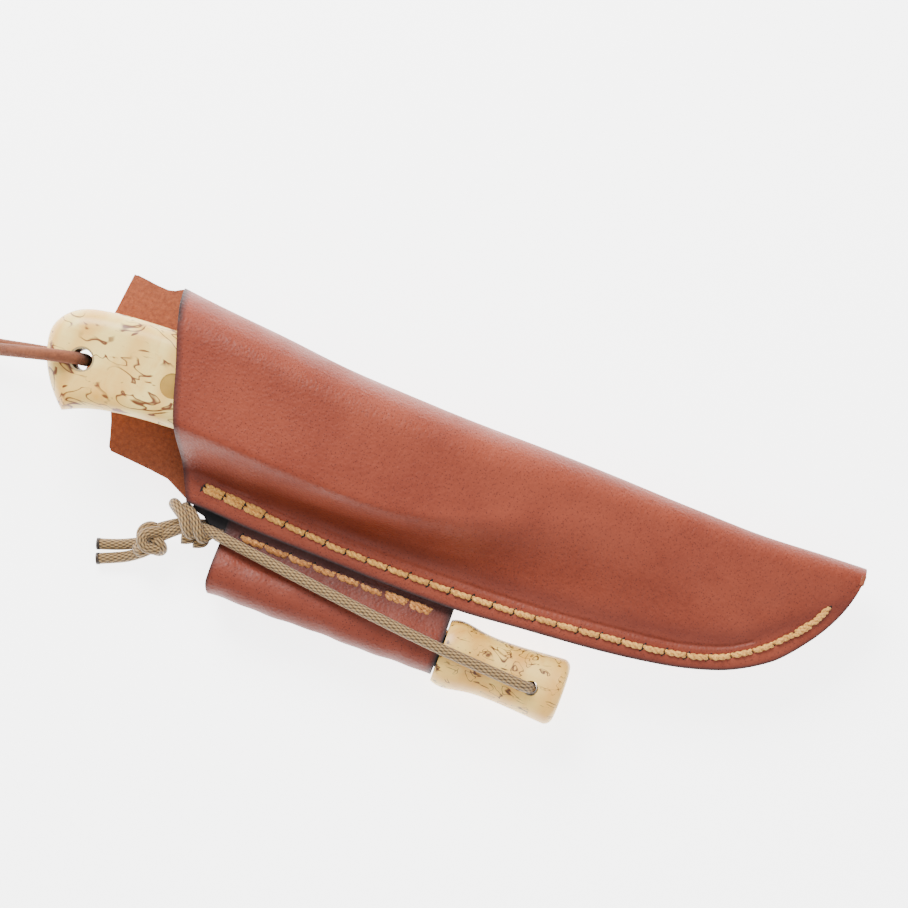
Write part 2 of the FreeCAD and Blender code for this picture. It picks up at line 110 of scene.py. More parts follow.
class Paint:
    """A node tree with short calls for the nodes that the materials below share."""

    def __init__(self, name, roughness=0.5, metallic=0.0, sheen=0.0, coat=0.0):
        self.material = bpy.data.materials.new(name)
        self.material.use_nodes = True
        self.tree = self.material.node_tree
        self.shader = self.tree.nodes["Principled BSDF"]
        self.shader.inputs["Roughness"].default_value = roughness
        self.shader.inputs["Metallic"].default_value = metallic
        self.shader.inputs["Sheen Weight"].default_value = sheen
        self.shader.inputs["Coat Weight"].default_value = coat
        self.place = self.tree.nodes.new("ShaderNodeTexCoord").outputs["Object"]

    def node(self, kind, **values):
        made = self.tree.nodes.new("ShaderNode" + kind)
        for key, value in values.items():
            setattr(made, key, value)
        return made

    def join(self, source, target):
        self.tree.links.new(source, target)

    def scaled(self, scale, turn=(0, 0, 0)):
        mapping = self.node("Mapping")
        mapping.inputs["Scale"].default_value = scale
        mapping.inputs["Rotation"].default_value = turn
        self.join(self.place, mapping.inputs["Vector"])
        return mapping.outputs[0]

    def noise(self, scale, stretch=(1, 1, 1), detail=3.0, rough=0.55, distortion=0.0, turn=(0, 0, 0)):
        made = self.node("TexNoise")
        made.inputs["Scale"].default_value = scale
        made.inputs["Detail"].default_value = detail
        made.inputs["Roughness"].default_value = rough
        made.inputs["Distortion"].default_value = distortion
        self.join(self.scaled(stretch, turn), made.inputs["Vector"])
        return made.outputs["Fac"]

    def cells(self, scale, stretch=(1, 1, 1), feature="F1"):
        made = self.node("TexVoronoi", feature=feature)
        made.inputs["Scale"].default_value = scale
        self.join(self.scaled(stretch), made.inputs["Vector"])
        return made.outputs["Distance"]

    def waves(self, scale, distortion, detail_scale, direction="X", stretch=(1, 1, 1), turn=(0, 0, 0)):
        made = self.node("TexWave", bands_direction=direction)
        made.inputs["Scale"].default_value = scale
        made.inputs["Distortion"].default_value = distortion
        made.inputs["Detail"].default_value = 2.0
        made.inputs["Detail Scale"].default_value = detail_scale
        self.join(self.scaled(stretch, turn), made.inputs["Vector"])
        return made.outputs["Fac"]

    def ramp(self, source, stops):
        made = self.node("ValToRGB")
        marks = made.color_ramp.elements
        marks[0].position, marks[0].color = stops[0][0], (*stops[0][1], 1)
        marks[1].position, marks[1].color = stops[-1][0], (*stops[-1][1], 1)
        for place, colour in stops[1:-1]:
            marks.new(place).color = (*colour, 1)
        self.join(source, made.inputs[0])
        return made.outputs[0]

    def mask(self, source, low, high):
        return self.ramp(source, [(low, (0, 0, 0)), (high, (1, 1, 1))])

    def mix(self, factor, first, second, blend="MIX"):
        made = self.node("Mix", data_type="RGBA", blend_type=blend)
        for socket, value in ((made.inputs[0], factor), (made.inputs[6], first), (made.inputs[7], second)):
            if isinstance(value, (int, float)):
                socket.default_value = value
            elif isinstance(value, tuple):
                socket.default_value = (*value, 1)
            else:
                self.join(value, socket)
        return made.outputs[2]

    def attribute(self, name):
        return self.node("Attribute", attribute_name=name).outputs["Fac"]

    def bump(self, heights):
        """heights is a list of (source, distance in metres)."""
        last = None
        for source, distance in heights:
            made = self.node("Bump")
            made.inputs["Strength"].default_value = 0.6
            made.inputs["Distance"].default_value = distance
            self.join(source, made.inputs["Height"])
            if last is not None:
                self.join(last, made.inputs["Normal"])
            last = made.outputs[0]
        self.join(last, self.shader.inputs["Normal"])

    def finish(self, colour, roughness=None):
        self.join(colour, self.shader.inputs["Base Color"])
        if roughness is not None:
            self.join(roughness, self.shader.inputs["Roughness"])
        return self.material


# ---- materials ------------------------------------------------------------------------------

def leather_grain(name, base, light, dark):
    p = Paint(name, roughness=0.5)
    p.shader.inputs["Specular IOR Level"].default_value = 0.3
    blotch = p.mask(p.noise(38, detail=4), 0.35, 0.68)
    colour = p.mix(blotch, base, light)
    fine = p.mask(p.noise(700, detail=3), 0.38, 0.62)
    colour = p.mix(p.mix(0.75, fine, (0, 0, 0)), colour, light)
    pores = p.mask(p.cells(1400), 0.05, 0.32)
    colour = p.mix(pores, dark, colour)
    # Painted shade: the shade attribute darkens the leather towards the dark colour along the seam zone and
    # bulge foot, at the mouth and cut edges, in creases, and on the loop's flap under the front panel
    colour = p.mix(p.attribute("shade"), colour, dark)
    scuff = p.mask(p.noise(60, stretch=(0.4, 3, 1), detail=6, turn=(0, 0, 0.5)), 0.62, 0.74)
    colour = p.mix(p.mix(0.6, scuff, (0, 0, 0)), colour, light)
    colour = p.mix(p.attribute("ink"), colour, (0.012, 0.010, 0.012))
    p.bump([(p.noise(420, detail=4), 0.00025), (p.cells(1300, feature="SMOOTH_F1"), 0.0002),
            (p.noise(60), 0.0005)])
    rough = p.ramp(p.noise(90, detail=4), [(0.3, (0.42, 0.42, 0.42)), (0.7, (0.62, 0.62, 0.62))])
    return p.finish(colour, rough)


def leather_flesh():
    p = Paint("leather_flesh", roughness=0.92, sheen=0.25)
    fuzz = p.mask(p.noise(900, detail=5, rough=0.7), 0.3, 0.7)
    colour = p.mix(fuzz, (0.19, 0.042, 0.015), (0.34, 0.090, 0.035))
    p.bump([(p.noise(1100, detail=5), 0.0005)])
    return p.finish(colour)


def leather_edge():
    p = Paint("leather_edge", roughness=0.6)
    p.shader.inputs["Specular IOR Level"].default_value = 0.2
    rub = p.mask(p.noise(500, stretch=(0.3, 0.3, 2), detail=4), 0.45, 0.75)
    colour = p.mix(rub, (0.010, 0.009, 0.010), (0.040, 0.030, 0.028))
    p.bump([(p.noise(600, stretch=(0.3, 0.3, 3)), 0.0003)])
    return p.finish(colour)


def thread_wax(name, light, dark):
    p = Paint(name, roughness=0.6, sheen=0.2)
    fibre = p.mask(p.noise(1600, stretch=(1, 1, 1), detail=3), 0.35, 0.65)
    blotch = p.mask(p.noise(120), 0.4, 0.65)
    colour = p.mix(fibre, dark, light)
    colour = p.mix(p.mix(0.5, blotch, (0, 0, 0)), colour, dark)
    p.bump([(p.noise(2200), 0.00012)])
    return p.finish(colour)


def curly_birch(name, pale, gold, brown, fleck, fleck_size, turn):
    """Cream wood with crosswise curl, golden clouds and short brown pith flecks."""
    p = Paint(name, roughness=0.38, coat=0.1)
    p.shader.inputs["Coat Roughness"].default_value = 0.25
    curl = p.mask(p.waves(30, 7.0, 1.2, stretch=(1, 0.25, 1), turn=turn), 0.1, 0.95)
    colour = p.mix(p.mix(0.45, curl, (0, 0, 0)), pale, gold)
    cloud = p.mask(p.noise(75, stretch=(1, 0.8, 1), detail=4, distortion=1.5), 0.46, 0.72)
    colour = p.mix(p.mix(0.15, cloud, (0, 0, 0)), colour, gold)
    grain = p.mask(p.noise(170, stretch=(0.18, 2.4, 2.4), detail=4), 0.45, 0.75)
    colour = p.mix(p.mix(0.7, grain, (0, 0, 0)), colour, gold)
    squiggle = p.noise(fleck_size, stretch=(0.75, 1.3, 1), detail=1.0, distortion=1.8)
    band = p.ramp(squiggle, [(0.535, (0, 0, 0)), (0.55, (1, 1, 1)), (0.565, (1, 1, 1)), (0.60, (0, 0, 0))])
    gate = p.mask(p.noise(fleck_size * 0.55, stretch=(1, 1.2, 1), detail=2), 0.44, 0.50)
    colour = p.mix(p.mix(1.0, band, gate, "MULTIPLY"), colour, fleck)
    spots = p.mask(p.noise(fleck_size * 2.2, stretch=(0.6, 1.6, 1), detail=2, distortion=0.8), 0.63, 0.70)
    colour = p.mix(spots, colour, brown)
    p.bump([(p.noise(500, stretch=(0.2, 2, 2)), 0.00006)])
    return p.finish(colour)


def metal(name, colour, worn, rough, stretch):
    p = Paint(name, roughness=rough, metallic=1.0)
    brushed = p.noise(900, stretch=stretch, detail=3)
    shade = p.mix(p.mask(p.noise(60, detail=4), 0.35, 0.7), colour, worn)
    p.bump([(brushed, 0.00004)])
    level = p.ramp(brushed, [(0.3, (rough * 0.8,) * 3), (0.7, (min(1.0, rough * 1.3),) * 3)])
    return p.finish(shade, level)


def ferro_rod_black():
    p = Paint("ferro", roughness=0.6, metallic=0.6)
    shade = p.mix(p.mask(p.noise(200, stretch=(0.2, 2, 2)), 0.4, 0.7), (0.035, 0.034, 0.036),
                  (0.11, 0.105, 0.10))
    p.bump([(p.noise(700), 0.0001)])
    return p.finish(shade)


def braided_elastic():
    """Fine crossing ribs, from the cord's own coordinates: along and round."""
    p = Paint("elastic", roughness=0.8, sheen=0.2)
    p.place = p.tree.nodes["Texture Coordinate"].outputs["UV"]
    ribs = [p.waves(1.0, 0.0, 1.0, "DIAGONAL", stretch=(260, side, 0)) for side in (6.4, -6.4)]
    braid = p.mix(0.5, ribs[0], ribs[1])
    both = p.mix(1.0, braid, p.mask(p.noise(6, stretch=(200, 6, 1)), 0.2, 0.8), "SOFT_LIGHT")
    colour = p.ramp(both, [(0.15, (0.055, 0.034, 0.014)), (0.5, (0.22, 0.125, 0.044)),
                           (0.85, (0.42, 0.27, 0.115))])
    p.bump([(braid, 0.0003)])
    return p.finish(colour)


def suede_thong():
    p = Paint("thong", roughness=0.95, sheen=0.08)
    fuzz = p.mask(p.noise(1000, detail=5, rough=0.7), 0.3, 0.7)
    streak = p.mask(p.noise(160, stretch=(0.25, 2, 2), detail=4), 0.4, 0.7)
    colour = p.mix(fuzz, (0.10, 0.027, 0.011), (0.21, 0.062, 0.024))
    colour = p.mix(p.mix(0.5, streak, (0, 0, 0)), colour, (0.27, 0.090, 0.036))
    p.bump([(p.noise(1200, detail=4), 0.0004)])
    return p.finish(colour)


def singed_black():
    p = Paint("singed", roughness=0.45)
    colour = p.mix(p.mask(p.noise(600), 0.4, 0.6), (0.01, 0.008, 0.007), (0.06, 0.035, 0.02))
    p.bump([(p.noise(900), 0.0003)])
    return p.finish(colour)


# ---- mesh helpers ---------------------------------------------------------------------------

def piece(name, vertices, faces, materials, body, kinds=None, smooth=True):
    """A new mesh piece from points in millimetres."""
    mesh = bpy.data.meshes.new(name)
    mesh.from_pydata([tuple(c * MM for c in v) for v in vertices], [], faces)
    for material in materials:
        mesh.materials.append(material)
    if kinds is not None:
        mesh.polygons.foreach_set("material_index", kinds)
    mesh.polygons.foreach_set("use_smooth", [smooth] * len(mesh.polygons))
    mesh.validate()
    mesh.update()
    made = bpy.data.objects.new(name, mesh)
    bpy.context.scene.collection.objects.link(made)
    if body is not None:
        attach(made, body)
    return made


def spline_points(route, resolution=14):
    """Points along the cord's smooth NURBS line, from its route in metres."""
    data = bpy.data.curves.new("line", "CURVE")
    data.dimensions = "3D"
    data.resolution_u = resolution
    spline = data.splines.new("NURBS")
    spline.points.add(len(route) - 1)
    for point, place in zip(spline.points, route):
        point.co = (*place, 1)
    spline.order_u = 3
    spline.use_endpoint_u = True
    holder = bpy.data.objects.new("line", data)
    mesh = bpy.data.meshes.new_from_object(holder)
    points = [v.co.copy() for v in mesh.vertices]
    bpy.data.objects.remove(holder)
    bpy.data.curves.remove(data)
    bpy.data.meshes.remove(mesh)
    return points


def tube_mesh(points, radius, sides=16, flat=1.0, closed_ends=True):
    """Vertices, faces and UVs of an untwisted round tube along points, all in metres."""
    points = [Vector(p) for p in points]
    vertices = []
    faces = []
    uv = []
    side = None
    run = 0.0
    for i, p in enumerate(points):
        ahead = (points[min(i + 1, len(points) - 1)] - points[max(i - 1, 0)]).normalized()
        if side is None:
            side = ahead.cross(Vector((0, 0, 1)))
            if side.length < 0.1:
                side = ahead.cross(Vector((0, 1, 0)))
        side = (side - ahead * side.dot(ahead)).normalized()
        up = ahead.cross(side)
        if i:
            run += (p - points[i - 1]).length
        size = radius(i / (len(points) - 1)) if callable(radius) else radius
        for k in range(sides):
            a = 2 * math.pi * k / sides
            vertices.append(p + side * math.cos(a) * size + up * math.sin(a) * size * flat)
            uv.append((run, k / sides))
    for i in range(len(points) - 1):
        for k in range(sides):
            n = (k + 1) % sides
            faces.append((i * sides + k, i * sides + n, (i + 1) * sides + n, (i + 1) * sides + k))
    if closed_ends:
        faces.append(tuple(range(sides))[::-1])
        faces.append(tuple((len(points) - 1) * sides + k for k in range(sides)))
    return vertices, faces, uv


def tubes(name, runs, materials, body, kinds=None):
    """One piece made of tubes. runs is a list of (points, radius, sides, flat)."""
    vertices, faces, uvs, indices = [], [], [], []
    for number, (points, radius, sides, flat) in enumerate(runs):
        v, f, uv = tube_mesh(points, radius, sides, flat)
        base = len(vertices)
        vertices += [tuple(c / MM for c in q) for q in v]
        uvs += uv
        faces += [tuple(base + i for i in g) for g in f]
        indices += [kinds[number] if kinds else 0] * len(f)
    made = piece(name, vertices, faces, materials, body, indices)
    layer = made.data.uv_layers.new(name="UVMap")
    for polygon in made.data.polygons:
        spots = [uvs[v] for v in polygon.vertices]
        wraps = max(s[1] for s in spots) - min(s[1] for s in spots) > 0.5
        for loop, spot in zip(polygon.loop_indices, spots):
            layer.data[loop].uv = (spot[0], spot[1] + (1.0 if wraps and spot[1] < 0.5 else 0.0))
    return made


def smooth_line(points):
    """A function through (place, value) pairs with no overshoot."""
    xs = np.array([p[0] for p in points], float)
    ys = np.array([p[1] for p in points], float)
    slope = np.diff(ys) / np.diff(xs)
    tangent = np.zeros(len(xs))
    tangent[0], tangent[-1] = slope[0], slope[-1]
    for i in range(1, len(xs) - 1):
        if slope[i - 1] * slope[i] > 0:
            tangent[i] = 2 * slope[i - 1] * slope[i] / (slope[i - 1] + slope[i])

    def value(x):
        x = min(max(x, xs[0]), xs[-1])
        i = min(int(np.searchsorted(xs, x, side="right")) - 1, len(xs) - 2)
        step = xs[i + 1] - xs[i]
        s = (x - xs[i]) / step
        return float(ys[i] * (1 + 2 * s) * (1 - s) ** 2 + tangent[i] * step * s * (1 - s) ** 2
                     + ys[i + 1] * s * s * (3 - 2 * s) + tangent[i + 1] * step * s * s * (s - 1))
    return value


def trefoil(centre, size, turn, start=0.25, end=None, squash=1.0):
    """The closed-up line of an overhand knot round centre."""
    end = 2 * math.pi - start if end is None else end
    points = []
    for i in range(90):
        a = start + (end - start) * i / 89
        p = Vector((math.sin(a) + 2 * math.sin(2 * a), math.cos(a) - 2 * math.cos(2 * a),
                    -1.35 * math.sin(3 * a) * squash))
        points.append(Vector(centre) * MM + (turn @ p) * size * MM)
    return points


# ---- cords ----------------------------------------------------------------------------------

ELASTIC_RADIUS = 0.0016
SINGED_TIP_RADIUS = 0.00172
THONG_RADIUS = 0.0019
THONG_KNOT_RADIUS = 0.00185
KNOT_SIDES = 16
CORD_SIDES = 20
SHARP_ANGLE = 35

def metres(route):
    return [tuple(c * MM for c in p) for p in route]


THONG_FRONT = [(-28.9, -0.6, 24.8), (-28.9, -0.6, 37.2), (-42, -3.4, 36.4), (-55, -6.3, 27),
               (-68, -9.5, 14.0),
               (-81, -13.0, 5.0), (-96, -16.6, 2.2), (-110, -19.2, 2.1)]
THONG_BACK = [(-28.9, -0.6, 24.4), (-28.9, -0.6, 12.75), (-42, -2.2, 12.5), (-55, -4.6, 10.2),
              (-68, -6.4, 5.6),
              (-82, -8.4, 2.6), (-96, -11.4, 2.1), (-110, -14.8, 2.05)]
ELASTIC_FRONT = [(21.0, -34.9, 18.6), (55, -39.9, 21.0), (88, -44.2, 22.0), (109, -46.0, 21.9),
                 (117.6, -46.8, 21.3), (117.6, -46.8, 11.6)]
ELASTIC_BACK = [(21.0, -32.8, 4.4), (52, -34.6, 3.6), (82, -39.6, 2.2), (107, -45.4, 1.68),
                (117.6, -46.8, 1.66), (117.6, -46.8, 11.4)]


def make_cords(suede, elastic):
    thong_knot = tubes("thong_knot_tied",
                       [(trefoil((-114.5, -17.4, 4.5), 1.15, Matrix.Rotation(0.3, 3, "Z"), squash=0.9),
                         THONG_KNOT_RADIUS, KNOT_SIDES, 1.0)],
                       [suede], "knife")
    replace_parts(thong_knot, "thong_knot")
    for name, route in (("thong_front", THONG_FRONT), ("thong_back", THONG_BACK)):
        line = spline_points(metres(route))
        strand = tubes(name, [(line, THONG_RADIUS, CORD_SIDES, 0.92)], [suede], "knife")
        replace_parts(strand, name + "_strand")
    for name, route in (("elastic_front", ELASTIC_FRONT), ("elastic_back", ELASTIC_BACK)):
        line = spline_points(metres(route), 24)
        strand = tubes(name, [(line, ELASTIC_RADIUS, CORD_SIDES, 1.0)], [elastic], None)
        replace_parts(strand, name.replace("elastic", "cord") + "_strand")
        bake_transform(strand)


def make_knots(elastic, singed):
    """The knot at the sheath, the neck of two strands, the end knot and its two singed tails."""
    lean = Matrix.Rotation(math.radians(-42), 3, "Z")
    wraps = []
    for shift in (0.0, 3.5):
        route = [(19.0 - shift, -34.6, 14.5), (17.6 - shift, -37.6, 15.6), (16.0 - shift, -36.2, 17.6),
                 (13.6 - shift, -32.6, 17.6), (10.4 - shift, -30.6, 15.0), (9.2 - shift, -30.8, 9.5),
                 (12.5 - shift, -33.6, 5.2), (17.0 - shift, -37.4, 8.0), (17.6 - shift, -38.6, 13.0),
                 (15.0 - shift, -39.2, 13.6)]
        wraps.append((spline_points(metres(route)), ELASTIC_RADIUS, KNOT_SIDES, 1.0))
    core = [(21.6, -34.9, 18.4), (18.0, -34.4, 15.6), (13.0, -35.2, 12.0), (9.6, -37.0, 9.6),
            (5.6, -40.6, 8.0)]
    lower = [(21.4, -32.9, 4.6), (17.5, -33.4, 7.4), (13.0, -34.6, 9.6), (8.4, -35.8, 8.6),
             (4.0, -39.0, 7.0)]
    runs = wraps + [(spline_points(metres(route)), ELASTIC_RADIUS, KNOT_SIDES, 1.0) for route in (core,
                                                                                                  lower)]
    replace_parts(tubes("sheath_knot_tied", runs, [elastic], "sheath"), "sheath_knot", "cord_neck")
    knot = trefoil((2.6, -43.4, 6.3), 1.38, lean @ Matrix.Rotation(0.25, 3, "X"), start=0.35, squash=0.95)
    inner = [(5.4, -39.6, 8.2), (1.6, -40.6, 10.2), (0.2, -43.2, 10.6), (2.6, -45.8, 10.0),
             (5.8, -44.6, 8.6)]
    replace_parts(tubes("end_knot_tied",
                      [(knot, ELASTIC_RADIUS, KNOT_SIDES, 1.0),
                       (spline_points(metres(inner)), ELASTIC_RADIUS, KNOT_SIDES, 1.0)],
                      [elastic], "sheath"), "end_knot")
    for name, route in (("cord_tail_long",
                         [(2.0, -44.0, 6.0), (-1.5, -45.5, 3.6), (-6, -47.6, 2.2), (-11.0, -49.0, 1.9)]),
                        ("cord_tail_short", [(1.6, -47.0, 5.0), (-1.5, -49.4, 3.2), (-5.5, -51.3, 2.2),
                                             (-9.8, -53.0, 1.9)])):
        line = spline_points(metres(route))
        tip = [line[-1], line[-1] + (line[-1] - line[-3]).normalized() * 0.0009]
        made = tubes(name + "_cut", [(line, ELASTIC_RADIUS, KNOT_SIDES, 1.0),
                                     (tip, SINGED_TIP_RADIUS, KNOT_SIDES, 1.0)], [elastic, singed],
                     "sheath", [0, 1])
        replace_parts(made, name)


# ---- sheath ---------------------------------------------------------------------------------

SEAM_EDGE = smooth_line([(-20, -29.0), (9.7, -29.0), (30, -30.5), (50, -31.5), (70, -32.5), (90, -33.0),
                         (110, -32.0),
                         (130, -30.9), (150, -28.7), (165, -25.2), (178, -18.5), (187, -9.0), (192.5, 0.0),
                         (195, 7.0), (196, 12.4)])
MOUTH_LINE = smooth_line([(-29.0, 9.7), (-16.0, 4.0), (-5.5, 0.0), (5.5, -3.0), (15.5, -6.0), (27.0, -9.0),
                          (31, -10.5)])
STATIONS = [(-13, -21.0, 27.8, 37.2), (0, -21.0, 26.0, 36.5), (20, -21.8, 23.5, 35.4),
            (45, -22.8, 20.4, 33.9),
            (72, -23.3, 18.6, 31.4), (95, -23.5, 17.9, 27.8), (120, -23.0, 16.9, 24.0),
            (145, -20.5, 15.3, 21.0),
            (165, -15.0, 14.6, 19.8), (182, 1.0, 15.0, 18.3), (196.5, 5.0, 15.2, 17.05)]
FOLD_EDGE, FRONT_TOP = (smooth_line([(s[0], s[k]) for s in STATIONS]) for k in (2, 3))
BULGE_START = smooth_line([(s[0], s[1]) for s in STATIONS[:7]] + [(145, -21.0), (165, -17.2), (182, -6.0),
                                                                  (196.5, 5.0)])
SHOULDER = smooth_line([(-13, 0.36), (55, 0.36), (125, 0.85), (197, 0.95)])
STITCH_LINE = smooth_line([(9.7, -23.2), (13, -23.5), (33, -25.5), (58, -27.8), (83, -28.4),
                           (107.5, -28.2), (130.5, -26.8),
                           (150, -25), (163.5, -21.8), (175, -15.3), (180, -10.8), (185, -5.5), (189, 1.5)])
STITCHES = [(13, -23.5), (33, -25.5), (58, -27.8), (83, -28.4), (107.5, -28.2), (130.5, -26.8), (150, -25),
            (163.5, -21.8), (175, -15.3), (185, -5.5), (189, 1.5)]
TIP = 196.0
FLAT_COLUMNS, BULGE_COLUMNS, FOLD_COLUMNS = 26, 34, 26


def front_section(x):
    """Points (y, z) over the front and round the fold."""
    lip, start, fold, top = SEAM_EDGE(x), BULGE_START(x), FOLD_EDGE(x), FRONT_TOP(x)
    half = (top - BACK_LOW) / 2
    reach = min(half, 11.0)
    start = max(start, lip + 0.5 * min(8.0, fold - lip))
    start = min(start, fold - reach)
    lip = min(lip, start - 0.05)
    shoulder = start + SHOULDER(x) * (fold - reach - start)
    points = []
    for k in range(FLAT_COLUMNS):
        points.append((lip + (start - lip) * k / FLAT_COLUMNS, FRONT_HIGH))
    for k in range(BULGE_COLUMNS):
        part = k / BULGE_COLUMNS
        if part < 0.6:
            rise = part / 0.6
            points.append((start + rise * (shoulder - start),
                           FRONT_HIGH + (top - FRONT_HIGH) * rise * rise * (3 - 2 * rise)))
        else:
            points.append((shoulder + (part - 0.6) / 0.4 * (fold - reach - shoulder), top))
    for k in range(FOLD_COLUMNS + 1):
        turn = math.radians(90 - 180 * k / FOLD_COLUMNS)
        points.append((fold - reach + reach * math.cos(turn), BACK_LOW + half + half * math.sin(turn)))
    return points


def relief(x, y, z):
    """Small heights on the outer face: creases beside the seam and along its stitch row, and hand-wet
    waves.
    """
    lift = 0.12 * math.sin(x * 0.11 + y * 0.07) * math.sin(y * 0.19 - x * 0.03)
    groove = y - (STITCH_LINE(x) + 3.0)
    if x > 9 and x < 172 and z < 24:
        lift -= 0.42 * math.exp(-(groove / 0.55) ** 2)
    row = y - STITCH_LINE(x)
    if x > 11 and z < 20:
        lift -= 0.22 * math.exp(-(row / 0.9) ** 2)
    return lift


def ink_at(x, y):
    """Where the black edge paint wraps over the cut edge."""
    lip = math.exp(-((y - SEAM_EDGE(x)) / 0.55) ** 2)
    mouth = math.exp(-((x - MOUTH_LINE(y)) / 0.42) ** 2) * (0.95 if y > 18 else 0.55)
    return max(lip, mouth)


def painted_shade_at(x, y):
    """Painted shade, how much darker the leather is drawn: along the seam zone at the foot of the bulge,
    where the slope lies in shade, at the cut edges and in a crease by the mouth.
    """
    seam = math.exp(-((y - BULGE_START(x) - 1.0) / 3.2) ** 2) * 0.5
    lip = math.exp(-((y - SEAM_EDGE(x)) / 1.6) ** 2) * 0.7
    mouth = math.exp(-((x - MOUTH_LINE(y)) / 1.3) ** 2) * 0.6
    crease_shade = math.exp(-((x - MOUTH_LINE(y) - 3.4) / 0.5) ** 2) * 0.35
    return min(1.0, seam + lip + mouth + crease_shade)


def make_sheath_front(grain, flesh, edge):
    rows = 150
    outer, inner, painted_shades, inks = [], [], [], []
    columns = FLAT_COLUMNS + BULGE_COLUMNS + FOLD_COLUMNS + 1
    for i in range(rows + 1):
        along = 1 - (1 - i / rows) ** 1.6
        line = []
        for j in range(columns):
            x = -5.0
            for _ in range(6):
                begin = MOUTH_LINE(front_section(x)[j][0])
                x = begin + along * (TIP - begin)
            y, z = front_section(x)[j]
            line.append((x, y, z))
        for j, (x, y, z) in enumerate(line):
            before = front_section(x)[max(j - 1, 0)]
            after = front_section(x)[min(j + 1, columns - 1)]
            dy, dz = after[0] - before[0], after[1] - before[1]
            span = math.hypot(dy, dz) or 1.0
            ny, nz = (-dz / span, dy / span) if j < columns - 1 else (0.0, -1.0)
            if j <= FLAT_COLUMNS - 1:
                ny, nz = 0.0, 1.0
            lift = relief(x, y, z)
            outer.append((x, y + ny * lift, z + nz * lift))
            inner.append((x, y - ny * LEATHER, z - nz * LEATHER))
            # painted shade for the leather at this point, stored in the shade attribute
            painted_shades.append(painted_shade_at(x, y))
            inks.append(ink_at(x, y))
    count = len(outer)
    faces, kinds = [], []
    for i in range(rows):
        for j in range(columns - 1):
            a = i * columns + j
            faces.append((a, a + columns, a + columns + 1, a + 1))
            kinds.append(0)
            faces.append((count + a, count + a + 1, count + a + columns + 1, count + a + columns))
            kinds.append(1)
    rim = [i * columns for i in range(rows + 1)]
    rim += [rows * columns + j for j in range(1, columns)]
    rim += [i * columns + columns - 1 for i in range(rows - 1, -1, -1)]
    rim += [j for j in range(columns - 2, 0, -1)]
    for a, b in zip(rim, rim[1:] + rim[:1]):
        faces.append((a, count + a, count + b, b))
        kinds.append(2)
    made = piece("sheath_front_leather", outer + inner, faces, [grain, flesh, edge], "sheath",
                 kinds)
    for name, values in (("shade", painted_shades), ("ink", inks)):
        attribute = made.data.attributes.new(name, "FLOAT", "POINT")
        attribute.data.foreach_set("value", np.array(values + values, np.float32))
    sharpen(made)
    return made


def sharpen(made, width=0.4):
    """Splits the shading at the cut edges and rounds them a little."""
    made.data.set_sharp_from_angle(angle=math.radians(50))
    bevel = made.modifiers.new("edge", "BEVEL")
    bevel.width = width * MM
    bevel.segments = 2
    bevel.limit_method = "ANGLE"
    bevel.angle_limit = math.radians(50)
    bevel.material = 2
    apply_modifiers(made)


def apply_modifiers(made):
    depsgraph = bpy.context.evaluated_depsgraph_get()
    mesh = bpy.data.meshes.new_from_object(made.evaluated_get(depsgraph), preserve_all_data_layers=True,
                                           depsgraph=depsgraph)
    old = made.data
    made.modifiers.clear()
    made.data = mesh
    bpy.data.meshes.remove(old)


BACK_OUTLINE = [(-8.0, 20.0), (-9.5, 27.2), (-10.6, 27.2), (-12.0, 26.6), (-13.2, 25.9), (-15.0, 25.5),
                (-20.0, 25.9),
                (-23.0, 26.4), (-25.5, 26.6), (-27.3, 14.5), (-29.3, 2.0), (-30.4, -8.0), (-24.0, -9.4),
                (-19.6, -11.4),
                (-18.4, -14.5), (-17.3, -18.5), (-16.6, -21.6), (-15.6, -22.7), (-10.0, -23.3),
                (-4.0, -24.0), (2.0, -24.9)]
STRAP_FLAT, STRAP_RAMP, STRAP_PAD, STRAP_WIDE = 56.0, 9.0, 13.0, 35.2
STRAP_TURN = Matrix.Translation((-22.9, 8.7, 0)) @ Matrix.Rotation(math.radians(-8.2), 4, "Z")


def slab(name, outline, low, high, materials):
    """A flat cut piece of leather: its top is material 0, its underside 1 and its cut edge 2."""
    count = len(outline)
    made = bmesh.new()
    bottom = [made.verts.new((x * MM, y * MM, low * MM)) for x, y in outline]
    top = [made.verts.new((x * MM, y * MM, high * MM)) for x, y in outline]
    upper = made.faces.new(top)
    lower = made.faces.new(bottom[::-1])
    lower.material_index = 1
    for i in range(count):
        side = made.faces.new((bottom[i], bottom[(i + 1) % count], top[(i + 1) % count], top[i]))
        side.material_index = 2
    bmesh.ops.recalc_face_normals(made, faces=made.faces)
    bmesh.ops.triangulate(made, faces=[upper, lower], quad_method="BEAUTY", ngon_method="EAR_CLIP")
    mesh = bpy.data.meshes.new(name)
    made.to_mesh(mesh)
    made.free()
    for material in materials:
        mesh.materials.append(material)
    holder = bpy.data.objects.new(name, mesh)
    bpy.context.scene.collection.objects.link(holder)
    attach(holder, "sheath")
    sharpen(holder, 0.6)
    return holder


